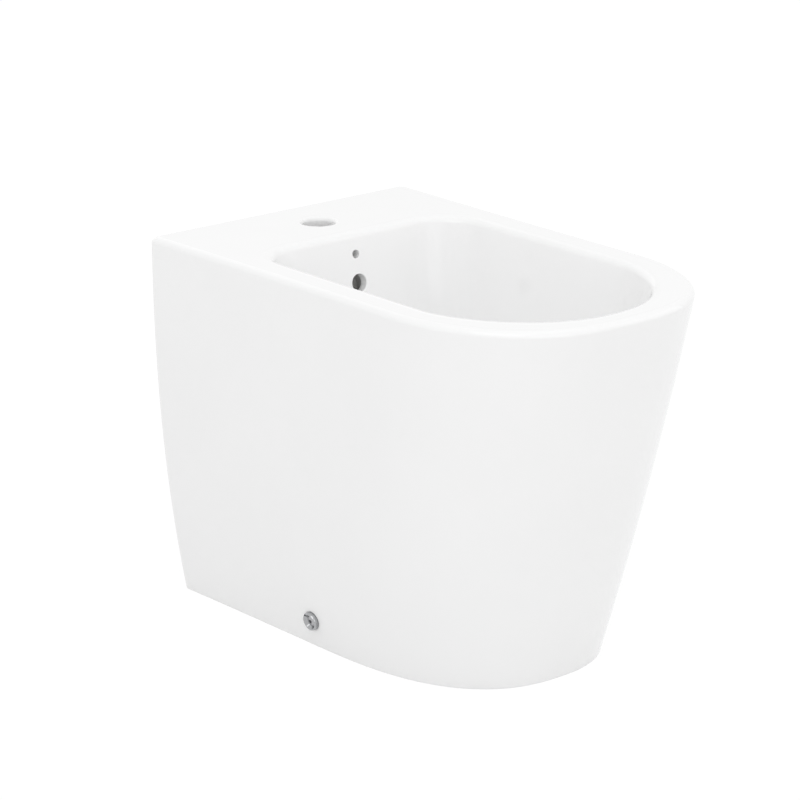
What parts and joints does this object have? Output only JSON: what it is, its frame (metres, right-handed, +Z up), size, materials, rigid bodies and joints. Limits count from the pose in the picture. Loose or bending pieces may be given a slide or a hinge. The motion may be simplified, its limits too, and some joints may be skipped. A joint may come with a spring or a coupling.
{
  "type": "floor standing bidet",
  "caption": "Back-to-wall floor standing bidet: one glazed casting with a tap deck, D-shaped basin, overflow and tapered skirt, with a press plug, bottle trap and side floor fixings.",
  "frame": {"origin": "on the floor, at the middle of the bounding box's base, which lies on the axis of the waste", "axes": "+Y towards the wall behind the flat back, -Y to the front of the basin, +Z up, X across; the plane x = 0 is the plane of symmetry"},
  "size_m": [0.346, 0.546, 0.4],
  "materials": {
    "glaze": "glossy white glaze",
    "chrome": "polished",
    "steel": "satin",
    "brass": "machined",
    "black_rubber": "matte",
    "white_plastic": "satin moulded",
    "grey_plastic": "moulded, fibre filled"
  },
  "bodies": {
    "bidet": {"ceramic_body": "glaze", "waste_seal": "black_rubber", "waste_body": "chrome", "waste_cone_seal": "black_rubber", "waste_slip_washer": "white_plastic", "waste_nut": "brass", "plug_cartridge": "white_plastic", "plug_spring": "steel", "trap_nut": "white_plastic", "trap_washer": "black_rubber", "trap_dip_tube": "white_plastic", "trap_slip_nut": "white_plastic", "trap_slip_washer": "black_rubber", "trap_body": "white_plastic", "trap_cup_seal": "black_rubber", "trap_cup": "white_plastic", "trap_outlet_nut": "white_plastic", "trap_outlet_washer": "black_rubber", "trap_outlet_pipe": "white_plastic", "fixing_brackets": "grey_plastic", "fixing_nuts": "steel", "fixing_sleeves": "white_plastic", "fixing_cups": "chrome", "fixing_screws": "steel"},
    "plug": {"plug_cap": "chrome", "plug_seal": "black_rubber", "plug_stem": "steel"}
  },
  "joints": [
    {"name": "plug_press", "type": "slide", "parent": "bidet", "child": "plug", "axis": [0, 0, 1], "range_m": [-0.008, 0], "stiffness_N_per_m": 400, "springref_m": 0.02, "deforming": ["plug_spring"]}
  ]
}
